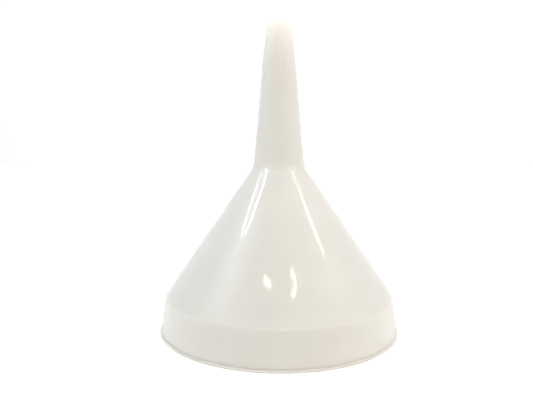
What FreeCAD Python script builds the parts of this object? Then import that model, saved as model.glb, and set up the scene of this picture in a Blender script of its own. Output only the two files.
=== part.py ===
import FreeCAD, Part
import math
import os

# A one-piece moulded funnel with a long spout, standing on its wide rim.
# Lengths are in millimetres. +Z points up along the funnel's axis and out of the spout, and the
# origin is the centre of the rim, on the surface that the funnel stands on.
# The wall is drawn once as a half section, with r outwards and z up. It is cut into bands where the
# moulding itself changes form, and each band is turned about the axis into a solid of its own.

# Rim flange: the thin flat lip round the mouth.
RIM_DIAMETER = 200.0
FLANGE_THICKNESS = 1.5
FLANGE_OVERHANG = 1.3  # how far the lip stands out from the foot of the collar
FLANGE_EDGE_ROUND = 0.5
FLANGE_ROOT_FILLET = 0.7

# Collar: the short, almost upright band above the rim.
COLLAR_HEIGHT = 28.9  # from the resting surface to the line where collar and cone meet
COLLAR_DRAFT = 5.5  # degrees off the axis, so that the moulding leaves its tool
SHOULDER_RADIUS = 6.0

# Cone: the body that gathers what is poured in.
CONE_HEIGHT = 107.7
CONE_TOP_DIAMETER = 43.0  # where the lines of cone and spout meet
NECK_RADIUS = 16.0

# Spout: the long tapered tube that goes into the neck of a bottle or jar.
SPOUT_LENGTH = 118.0
SPOUT_TIP_DIAMETER = 22.2

# Walls and their free edges.
WALL = 1.8
TIP_WALL = 1.5
FREE_EDGE_ROUND = 0.4

neck_z = COLLAR_HEIGHT + CONE_HEIGHT
tip_z = neck_z + SPOUT_LENGTH


def point(r, z):
    """A point of the half section."""
    return FreeCAD.Vector(r, 0, z)


def inner_line(start, end, start_wall, end_wall):
    """The line from start to end, moved inwards by the wall's thickness at each end."""
    along = (end - start).normalize()
    inwards = FreeCAD.Vector(-along.z, 0, along.x)
    return start + inwards * start_wall, end + inwards * end_wall


def crossing(first, second):
    """The point where two lines of the half section meet."""
    origin, first_end = first
    other, second_end = second
    along = first_end - origin
    across = second_end - other
    gap = other - origin
    share = (gap.x * across.z - gap.z * across.x) / (along.x * across.z - along.z * across.x)
    return origin + along * share


def rounded_face(corners):
    """A flat face through (point, radius) corners, with a tangent arc of its radius at each."""
    arcs = []
    for i, (corner, radius) in enumerate(corners):
        back = (corners[i - 1][0] - corner).normalize()
        ahead = (corners[(i + 1) % len(corners)][0] - corner).normalize()
        half_angle = back.getAngle(ahead) / 2
        reach = radius / math.tan(half_angle)
        depth = radius / math.sin(half_angle) - radius
        middle = corner + (back + ahead).normalize() * depth
        arcs.append((corner + back * reach, middle, corner + ahead * reach))
    edges = []
    for i, (start, middle, end) in enumerate(arcs):
        next_start = arcs[(i + 1) % len(arcs)][0]
        edges.append(Part.Arc(start, middle, end).toShape())
        edges.append(Part.LineSegment(end, next_start).toShape())
    return Part.Face(Part.Wire(edges))


def wall_section():
    """The half section of the whole wall, from the rim up the outside and back down the inside."""
    rim_radius = RIM_DIAMETER / 2
    foot_radius = rim_radius - FLANGE_OVERHANG
    draft = math.tan(math.radians(COLLAR_DRAFT))

    foot = point(foot_radius, FLANGE_THICKNESS)
    shoulder = point(foot_radius - (COLLAR_HEIGHT - FLANGE_THICKNESS) * draft, COLLAR_HEIGHT)
    neck = point(CONE_TOP_DIAMETER / 2, neck_z)
    tip = point(SPOUT_TIP_DIAMETER / 2, tip_z)

    collar_inside = inner_line(foot, shoulder, WALL, WALL)
    cone_inside = inner_line(shoulder, neck, WALL, WALL)
    spout_inside = inner_line(neck, tip, WALL, TIP_WALL)
    resting_line = (point(0, 0), point(rim_radius, 0))
    tip_line = (point(0, tip_z), tip)

    edge_round = min(FLANGE_EDGE_ROUND, FLANGE_THICKNESS / 2.5)
    root_fillet = min(FLANGE_ROOT_FILLET, (FLANGE_OVERHANG - edge_round) * 0.9)
    end_round = min(FREE_EDGE_ROUND, TIP_WALL / 2.5)
    return rounded_face([
        (point(rim_radius, 0), edge_round),
        (point(rim_radius, FLANGE_THICKNESS), edge_round),
        (foot, root_fillet),
        (shoulder, SHOULDER_RADIUS),
        (neck, NECK_RADIUS),
        (tip, end_round),
        (crossing(tip_line, spout_inside), end_round),
        (crossing(spout_inside, cone_inside), NECK_RADIUS + WALL),
        (crossing(cone_inside, collar_inside), max(SHOULDER_RADIUS - WALL, FREE_EDGE_ROUND)),
        (crossing(collar_inside, resting_line), FREE_EDGE_ROUND),
    ])


def turned_band(section, low, high):
    """The part of the wall between two heights, turned about the axis."""
    facing = FreeCAD.Vector(0, -1, 0)
    outwards = FreeCAD.Vector(1, 0, 0)
    window = Part.makePlane(RIM_DIAMETER, high - low, point(0, low), facing, outwards)
    band = section.common(window).Faces[0]
    return band.revolve(point(0, 0), point(0, 1), 360)


BANDS = {
    "rim_flange": (0, FLANGE_THICKNESS),
    "collar": (FLANGE_THICKNESS, COLLAR_HEIGHT),
    "cone": (COLLAR_HEIGHT, neck_z),
    "spout": (neck_z, tip_z),
}

os.makedirs("parts", exist_ok=True)
wall = wall_section()
for node, (low, high) in BANDS.items():
    turned_band(wall, low, high).exportStep("parts/" + node + ".step")
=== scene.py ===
import math
import bpy
from mathutils import Matrix, Vector


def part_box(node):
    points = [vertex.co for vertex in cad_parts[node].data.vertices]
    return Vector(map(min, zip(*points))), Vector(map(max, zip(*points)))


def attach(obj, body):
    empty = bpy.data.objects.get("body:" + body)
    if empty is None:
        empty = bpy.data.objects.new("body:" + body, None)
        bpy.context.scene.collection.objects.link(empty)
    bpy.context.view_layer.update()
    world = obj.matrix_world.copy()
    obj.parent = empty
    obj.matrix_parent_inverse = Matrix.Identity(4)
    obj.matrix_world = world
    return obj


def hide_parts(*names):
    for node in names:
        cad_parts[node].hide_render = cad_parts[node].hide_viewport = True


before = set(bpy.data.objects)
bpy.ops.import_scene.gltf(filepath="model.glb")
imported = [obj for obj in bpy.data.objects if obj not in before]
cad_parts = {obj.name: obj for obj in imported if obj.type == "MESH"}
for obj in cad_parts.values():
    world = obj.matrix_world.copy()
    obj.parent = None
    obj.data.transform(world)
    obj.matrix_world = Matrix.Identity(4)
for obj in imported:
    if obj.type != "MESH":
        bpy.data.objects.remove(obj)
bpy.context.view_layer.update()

# ---------------------------------------------------------------------------------------------
# Funnel moulding
# The whole funnel is one injection moulding in unpigmented polypropylene: rim flange, collar,
# cone and spout in a single wall, drafted so that it leaves its tool, with every bend rounded.
# ---------------------------------------------------------------------------------------------
MM = 0.001
rim_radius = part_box("rim_flange")[1].x
flange_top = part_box("rim_flange")[1].z
shoulder_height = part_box("collar")[1].z
neck_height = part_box("cone")[1].z
tip_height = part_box("spout")[1].z

flange_overhang = 1.3 * MM
collar_draft = math.radians(5.5)
neck_radius = 21.5 * MM
tip_radius = 11.1 * MM
wall = 1.8 * MM
tip_wall = 1.5 * MM
rim_edge_round = 0.5 * MM
rim_root_fillet = 0.7 * MM
shoulder_bend = 6.0 * MM
neck_bend = 16.0 * MM
free_edge_round = 0.4 * MM

steps_round = 256
steps_per_bend = 8
longest_edge = 5.0 * MM

foot_radius = rim_radius - flange_overhang
shoulder_radius = foot_radius - (shoulder_height - flange_top) * math.tan(collar_draft)


def deselect_all():
    """Leaves nothing selected in object mode."""
    if bpy.context.mode != "OBJECT":
        bpy.ops.object.mode_set(mode="OBJECT")
    bpy.ops.object.select_all(action="DESELECT")


def inner_line(start, end, start_wall, end_wall):
    """A line of the half section moved inwards by the wall's thickness at each of its ends."""
    length = math.dist(start, end)
    inwards = (-(end[1] - start[1]) / length, (end[0] - start[0]) / length)
    return (
        (start[0] + inwards[0] * start_wall, start[1] + inwards[1] * start_wall),
        (end[0] + inwards[0] * end_wall, end[1] + inwards[1] * end_wall),
    )


def crossing(first, second):
    """The point where two lines of the half section meet."""
    (ax, az), (bx, bz) = first
    (cx, cz), (dx, dz) = second
    turn = (bx - ax) * (dz - cz) - (bz - az) * (dx - cx)
    share = ((cx - ax) * (dz - cz) - (cz - az) * (dx - cx)) / turn
    return ax + (bx - ax) * share, az + (bz - az) * share


foot = (foot_radius, flange_top)
shoulder = (shoulder_radius, shoulder_height)
neck = (neck_radius, neck_height)
tip = (tip_radius, tip_height)
collar_inside = inner_line(foot, shoulder, wall, wall)
cone_inside = inner_line(shoulder, neck, wall, wall)
spout_inside = inner_line(neck, tip, wall, tip_wall)

# The corners of the wall's half section, from the rim up the outside and back down the inside,
# each with the radius that the mould gives its bend.
bends = [
    ((rim_radius, 0.0), rim_edge_round),
    ((rim_radius, flange_top), rim_edge_round),
    (foot, rim_root_fillet),
    (shoulder, shoulder_bend),
    (neck, neck_bend),
    (tip, free_edge_round),
    (crossing(((0.0, tip_height), tip), spout_inside), free_edge_round),
    (crossing(spout_inside, cone_inside), neck_bend + wall),
    (crossing(cone_inside, collar_inside), shoulder_bend - wall),
    (crossing(collar_inside, ((0.0, 0.0), (rim_radius, 0.0))), free_edge_round),
]

deselect_all()
bpy.ops.mesh.primitive_circle_add(vertices=steps_round, radius=rim_radius, fill_type="NOTHING")
funnel = bpy.context.object
funnel.name = "funnel_moulding"
bpy.ops.object.mode_set(mode="EDIT")
bpy.ops.mesh.select_all(action="SELECT")
for (start, _), (end, _) in zip(bends, bends[1:]):
    scale = end[0] / start[0]
    bpy.ops.mesh.extrude_edges_move(TRANSFORM_OT_translate={"value": (0, 0, end[1] - start[1])})
    bpy.ops.transform.resize(value=(scale, scale, 1), center_override=(0, 0, end[1]))
bpy.ops.mesh.select_all(action="DESELECT")
bpy.ops.mesh.select_non_manifold(extend=False)
bpy.ops.mesh.bridge_edge_loops()


def pick_ring(mesh_object, radius, height):
    """Selects the edges of the ring of that radius and height, in edit mode."""
    bpy.ops.mesh.select_all(action="DESELECT")
    bpy.ops.object.mode_set(mode="OBJECT")
    mesh = mesh_object.data
    near = 0.02 * MM
    on_ring = [
        abs(math.hypot(v.co.x, v.co.y) - radius) < near and abs(v.co.z - height) < near
        for v in mesh.vertices
    ]
    for edge in mesh.edges:
        edge.select = on_ring[edge.vertices[0]] and on_ring[edge.vertices[1]]
    bpy.ops.object.mode_set(mode="EDIT")


def reach_of(before, corner, after, radius):
    """How far from a corner its rounding starts, for a bend of that radius."""
    back = (before[0] - corner[0], before[1] - corner[1])
    ahead = (after[0] - corner[0], after[1] - corner[1])
    dot = back[0] * ahead[0] + back[1] * ahead[1]
    angle = math.acos(dot / (math.hypot(*back) * math.hypot(*ahead)))
    return radius / math.tan(angle / 2)


bpy.ops.mesh.select_mode(type="EDGE")
for i, (corner, radius) in enumerate(bends):
    before = bends[i - 1][0]
    after = bends[(i + 1) % len(bends)][0]
    pick_ring(funnel, corner[0], corner[1])
    bpy.ops.mesh.bevel(
        offset=reach_of(before, corner, after, radius), segments=steps_per_bend, affect="EDGES"
    )


def divide_long_edges(mesh_object, longest):
    """Halves the edges that run along the wall until none is longer, and leaves edit mode."""
    while True:
        bpy.ops.mesh.select_all(action="DESELECT")
        bpy.ops.object.mode_set(mode="OBJECT")
        mesh = mesh_object.data
        found = 0
        for edge in mesh.edges:
            a, b = (mesh.vertices[i].co for i in edge.vertices)
            edge.select = (a - b).length > longest
            found += edge.select
        if not found:
            return
        bpy.ops.object.mode_set(mode="EDIT")
        bpy.ops.mesh.subdivide(number_cuts=1)


divide_long_edges(funnel, longest_edge)
bpy.ops.object.mode_set(mode="EDIT")
bpy.ops.mesh.select_all(action="SELECT")
bpy.ops.mesh.normals_make_consistent(inside=False)
bpy.ops.object.mode_set(mode="OBJECT")
bpy.ops.object.shade_smooth()


def hex_to_linear(code):
    """The linear RGBA of an sRGB colour written as six hex digits."""
    channels = [int(code[i:i + 2], 16) / 255 for i in (0, 2, 4)]
    linear = [c / 12.92 if c <= 0.04045 else ((c + 0.055) / 1.055) ** 2.4 for c in channels]
    return (*linear, 1.0)


def add_node(owner, kind, settings=None, **links):
    """Adds a shader node to a material or world, with its settings and the links to its inputs.

    An input is named with underscores for its spaces, or as i0, i1 and so on for its number.
    """
    node = owner.node_tree.nodes.new(kind)
    for name, value in (settings or {}).items():
        if isinstance(name, int) or name in node.inputs:
            node.inputs[name].default_value = value
        else:
            setattr(node, name, value)
    for name, output in links.items():
        socket = int(name[1:]) if name[1:].isdigit() else name.replace("_", " ")
        owner.node_tree.links.new(output, node.inputs[socket])
    return node


# The wall of a moulding this wide is never quite true: it cools into waves of about 0.1 mm.
wave_length = 80.0 * MM
wave_depth = 0.15 * MM
waves = bpy.data.textures.new("cooling_waves", "CLOUDS")
waves.noise_scale = wave_length
waves.noise_depth = 0
for axis in ("X", "Y"):
    sink = funnel.modifiers.new("sink_" + axis, "DISPLACE")
    sink.texture = waves
    sink.direction = axis
    sink.strength = wave_depth
    bpy.ops.object.modifier_apply(modifier=sink.name)

# Unpigmented polypropylene, injection-moulded: IOR 1.49, milky enough to pass light through 1.8 mm
# of wall, with a satin skin (roughness 0.38) under the gloss that the polished tool leaves (0.04).
# Skin and gloss are one surface, so they share its reflection: 0.3 for the skin, 0.5 for the gloss.
resin = bpy.data.materials.new("natural_polypropylene_moulded")
resin.use_nodes = True
shader = resin.node_tree.nodes["Principled BSDF"]
shader.inputs["IOR"].default_value = 1.49
shader.inputs["Specular IOR Level"].default_value = 0.3
shader.inputs["Subsurface Weight"].default_value = 1.0
shader.inputs["Subsurface Radius"].default_value = (1.0, 1.0, 1.0)
shader.inputs["Subsurface Scale"].default_value = 11.0 * MM
shader.inputs["Coat Weight"].default_value = 0.5
shader.inputs["Coat IOR"].default_value = 1.49
place = add_node(resin, "ShaderNodeTexCoord").outputs["Object"]
across = add_node(resin, "ShaderNodeSeparateXYZ", None, Vector=place).outputs
height = across["Z"]

# The resin is cloudy: patches 30 mm across are a shade greyer, and specks are 1.5 mm across.
cloud_size = 30 * MM
speck_size = 1.5 * MM
speck_share = 0.25
cloud = add_node(
    resin, "ShaderNodeTexNoise", {"Scale": 1 / cloud_size, "Detail": 3.0}, Vector=place
)
speck = add_node(resin, "ShaderNodeTexNoise", {"Scale": 1 / speck_size}, Vector=place)
shade = add_node(
    resin, "ShaderNodeMath", {"operation": "MULTIPLY_ADD", 1: speck_share},
    i0=speck.outputs["Fac"], i2=cloud.outputs["Fac"],
)
cloudiness = add_node(
    resin, "ShaderNodeMapRange", {"From Min": 0.4, "From Max": 0.85}, Value=shade.outputs["Value"]
)
milk = add_node(
    resin, "ShaderNodeMix",
    {"data_type": "RGBA", 6: hex_to_linear("E9DDD1"), 7: hex_to_linear("EDE1D5")},
    Factor=cloudiness.outputs["Result"],
)

# Draw lines run up the wall, where the moulding was pulled off its core, some 3 degrees apart.
# The noise is read on a circle round the axis, so that it has no seam, and it changes slowly up
# the wall, so that each line is long.
lines_per_radian = 20
line_length = 167 * MM
flat = add_node(resin, "ShaderNodeVectorMath", {"operation": "MULTIPLY", 1: (1, 1, 0)}, i0=place)
circle = add_node(
    resin, "ShaderNodeVectorMath", {"operation": "NORMALIZE"}, i0=flat.outputs["Vector"]
)
rise = add_node(
    resin, "ShaderNodeVectorMath", {"operation": "MULTIPLY", 1: (0, 0, 1 / line_length)}, i0=place
)
drawn = add_node(
    resin, "ShaderNodeVectorMath", {"operation": "MULTIPLY_ADD", 1: (lines_per_radian,) * 3},
    i0=circle.outputs["Vector"], i2=rise.outputs["Vector"],
)
draw_lines = add_node(
    resin, "ShaderNodeTexNoise", {"Scale": 1.0, "Detail": 2.0}, Vector=drawn.outputs["Vector"]
)

# Two weld lines run down from the tip, where streams of melt met. They fade out on the cone.
weld_angles = (-77.5, -74.5)
weld_half_width = math.radians(0.8)
weld_end = 85 * MM
weld_full = 125 * MM
angle = add_node(resin, "ShaderNodeMath", {"operation": "ARCTAN2"}, i0=across["Y"], i1=across["X"])
fade = add_node(
    resin, "ShaderNodeMapRange", {"From Min": weld_end, "From Max": weld_full}, Value=height
).outputs["Result"]
unwelded = fade
for weld_angle in weld_angles:
    off = add_node(
        resin, "ShaderNodeMath", {"operation": "SUBTRACT", 1: math.radians(weld_angle)},
        i0=angle.outputs["Value"],
    )
    far = add_node(resin, "ShaderNodeMath", {"operation": "ABSOLUTE"}, i0=off.outputs["Value"])
    line = add_node(
        resin, "ShaderNodeMapRange", {"From Max": weld_half_width}, Value=far.outputs["Value"]
    )
    unwelded = add_node(
        resin, "ShaderNodeMath", {"operation": "MULTIPLY"}, i0=unwelded, i1=line.outputs["Result"]
    ).outputs["Value"]
seam = add_node(
    resin, "ShaderNodeMath", {"operation": "SUBTRACT"}, i0=fade, i1=unwelded
).outputs["Value"]
tinted = add_node(
    resin, "ShaderNodeMix",
    {"data_type": "RGBA", "blend_type": "MULTIPLY", 7: hex_to_linear("FAF8F5")},
    Factor=seam, i6=milk.outputs[2],
)
resin.node_tree.links.new(tinted.outputs[2], shader.inputs["Base Color"])

# The lip is rubbed dull where it is stood and slid about; the skin above only varies a little.
rub_top = 5 * MM
rub_full = 0.5 * MM
wear_size = 4 * MM
rubbed = add_node(
    resin, "ShaderNodeMapRange", {"From Min": rub_top, "From Max": rub_full}, Value=height
).outputs["Result"]
wear = add_node(
    resin, "ShaderNodeTexNoise", {"Scale": 1 / wear_size, "Detail": 4.0, "Distortion": 1.5},
    Vector=place,
)
worn = add_node(
    resin, "ShaderNodeMath", {"operation": "MULTIPLY"}, i0=rubbed, i1=wear.outputs["Fac"]
)
film = add_node(
    resin, "ShaderNodeMapRange", {"To Min": 0.04, "To Max": 0.45}, Value=worn.outputs["Value"]
)
resin.node_tree.links.new(film.outputs["Result"], shader.inputs["Coat Roughness"])
skin = add_node(
    resin, "ShaderNodeMapRange", {"To Min": 0.32, "To Max": 0.44}, Value=wear.outputs["Fac"]
)
resin.node_tree.links.new(skin.outputs["Result"], shader.inputs["Roughness"])

# The relief of the skin: draw lines 4 microns deep, welds 8, and a tool grain of 0.8 mm, 1.5 deep.
# The gloss follows only the first two.
line_depth = 0.004 * MM
weld_depth = 0.008 * MM
grain_size = 0.8 * MM
grain_depth = 0.0015 * MM
grain = add_node(resin, "ShaderNodeTexNoise", {"Scale": 1 / grain_size}, Vector=place)
lines = add_node(
    resin, "ShaderNodeBump", {"Distance": line_depth}, Height=draw_lines.outputs["Fac"]
)
creased = add_node(
    resin, "ShaderNodeBump", {"Distance": weld_depth, "invert": True},
    Height=seam, Normal=lines.outputs["Normal"],
)
grained = add_node(
    resin, "ShaderNodeBump", {"Distance": grain_depth},
    Height=grain.outputs["Fac"], Normal=creased.outputs["Normal"],
)
resin.node_tree.links.new(grained.outputs["Normal"], shader.inputs["Normal"])
resin.node_tree.links.new(creased.outputs["Normal"], shader.inputs["Coat Normal"])
funnel.data.materials.append(resin)

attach(funnel, "root")
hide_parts("rim_flange", "collar", "cone", "spout")

# ---------------------------------------------------------------------------------------------
# Studio
# A table with a white laminate top that runs to the horizon, in a white room whose light is made of
# broad soft patches. Narrow soft boxes give the gloss its streaks and glints.
# ---------------------------------------------------------------------------------------------
floor_size = 30.0
deselect_all()
bpy.ops.mesh.primitive_plane_add(size=floor_size)
floor = bpy.context.object
floor.name = "studio_floor"

# White melamine laminate, pressed matt: it spreads the light and mirrors almost nothing.
white_table = bpy.data.materials.new("white_laminate")
white_table.use_nodes = True
table_shader = white_table.node_tree.nodes["Principled BSDF"]
table_shader.inputs["Base Color"].default_value = hex_to_linear("FAFAFA")
table_shader.inputs["Roughness"].default_value = 0.6
floor.data.materials.append(white_table)

# The colours of the lights, from the warmest to the coolest, and the point that the soft boxes
# face.
amber = "FFE9C4"
warm = "FFF1DB"
cream = "FFFAF2"
daylight = "F6FBFF"
cool = "E4F3FF"
aim = Vector((0.0, 0.0, 0.12))


def soft_box(name, place, width, height, power, colour, roll=0.0):
    """A rectangular lamp of that width and height, facing the funnel and rolled about its beam."""
    away = Vector(place) - aim
    bpy.ops.object.light_add(type="AREA", location=place)
    lamp = bpy.context.object
    lamp.name = name
    lamp.rotation_euler = (
        Matrix.Rotation(math.atan2(away.x, -away.y), 3, "Z")
        @ Matrix.Rotation(math.pi / 2 - math.atan2(away.z, math.hypot(away.x, away.y)), 3, "X")
        @ Matrix.Rotation(math.radians(roll), 3, "Z")
    ).to_euler()
    lamp.data.shape = "RECTANGLE"
    lamp.data.size = width
    lamp.data.size_y = height
    lamp.data.energy = power
    lamp.data.color = hex_to_linear(colour)[:3]


# The streaks that run down the cone from the neck: two on the left and one on the right.
soft_box("left_strip", (-0.40, -0.140, 0.655), 0.018, 0.17, 0.75, cool)
soft_box("left_bar", (-0.40, -0.034, 0.511), 0.16, 0.012, 0.30, cool, roll=-25)
soft_box("right_strip", (0.40, -0.100, 0.575), 0.060, 0.24, 0.34, daylight)

# The small glints on the front of the cone: a blob on the left, and a tall one on the right.
soft_box("glint_left", (-0.165, -0.512, 0.708), 0.110, 0.020, 0.200, amber)
soft_box("glint_right_top", (0.180, -0.497, 0.719), 0.050, 0.018, 0.095, amber)
soft_box("glint_right_stem", (0.208, -0.508, 0.699), 0.014, 0.040, 0.100, amber)
soft_box("glint_right_foot", (0.178, -0.531, 0.689), 0.060, 0.014, 0.090, amber)

# The room: an even light, and soft patches that fall off with the cosine of the angle from their
# middle, raised to their focus. Azimuth 0 is the front, 90 the right; angles are in degrees.
world = bpy.data.worlds.new("studio_world")
bpy.context.scene.world = world
world.use_nodes = True
even_light = world.node_tree.nodes["Background"]
even_light.inputs["Strength"].default_value = 0.37
even_light.inputs["Color"].default_value = hex_to_linear(cool)
direction = add_node(world, "ShaderNodeTexCoord").outputs["Generated"]
light = even_light.outputs["Background"]
for label, azimuth, elevation, focus, strength, colour in (
    ("front_low", 0, 12, 4, 0.98, warm),
    ("right_low", 60, 12, 4, 0.57, warm),
    ("right_back_low", 120, 12, 4, 0.25, cool),
    ("back_low", 180, 12, 2, 0.86, cream),
    ("left_back_low", -120, 12, 4, 0.10, cream),
    ("left_low", -60, 12, 4, 0.45, cream),
    ("right_mid", 60, 48, 4, 1.13, cream),
    ("left_mid", -60, 48, 4, 0.18, daylight),
    ("left_glow", -76, 43, 40, 2.30, cool),
    ("right_glow", 83, 40, 40, 0.82, daylight),
):
    turn = math.radians(azimuth)
    lift = math.radians(elevation)
    toward = (
        math.sin(turn) * math.cos(lift),
        -math.cos(turn) * math.cos(lift),
        math.sin(lift),
    )
    facing = add_node(
        world, "ShaderNodeVectorMath", {"operation": "DOT_PRODUCT", 1: toward}, i0=direction
    )
    lit = add_node(
        world, "ShaderNodeMath", {"operation": "MAXIMUM", 1: 0.0}, i0=facing.outputs["Value"]
    )
    fall = add_node(
        world, "ShaderNodeMath", {"operation": "POWER", 1: focus}, i0=lit.outputs["Value"]
    )
    patch = add_node(
        world, "ShaderNodeMath", {"operation": "MULTIPLY", 1: strength}, i0=fall.outputs["Value"]
    )
    glow = add_node(
        world, "ShaderNodeBackground", {"label": label, "Color": hex_to_linear(colour)},
        Strength=patch.outputs["Value"],
    )
    light = add_node(
        world, "ShaderNodeAddShader", None, i0=light, i1=glow.outputs["Background"]
    ).outputs["Shader"]
world.node_tree.links.new(light, world.node_tree.nodes["World Output"].inputs["Surface"])

bpy.context.scene.view_settings.view_transform = "Standard"

# ---------------------------------------------------------------------------------------------
# Camera
# A 34 mm lens close to the funnel, a little above the middle of its height and tipped slightly
# down, so that the lip shows as a shallow curve and the bore of the tip stays hidden.
# ---------------------------------------------------------------------------------------------
camera_distance = 0.425
camera_height = 0.1441
camera_aside = -0.0104
camera_pitch = math.radians(4.81)
bpy.ops.object.camera_add(
    location=(camera_aside, -camera_distance, camera_height),
    rotation=(math.pi / 2 - camera_pitch, 0, 0),
)
camera = bpy.context.object
camera.data.lens = 33.9
camera.data.sensor_width = 36.0
bpy.context.scene.camera = camera
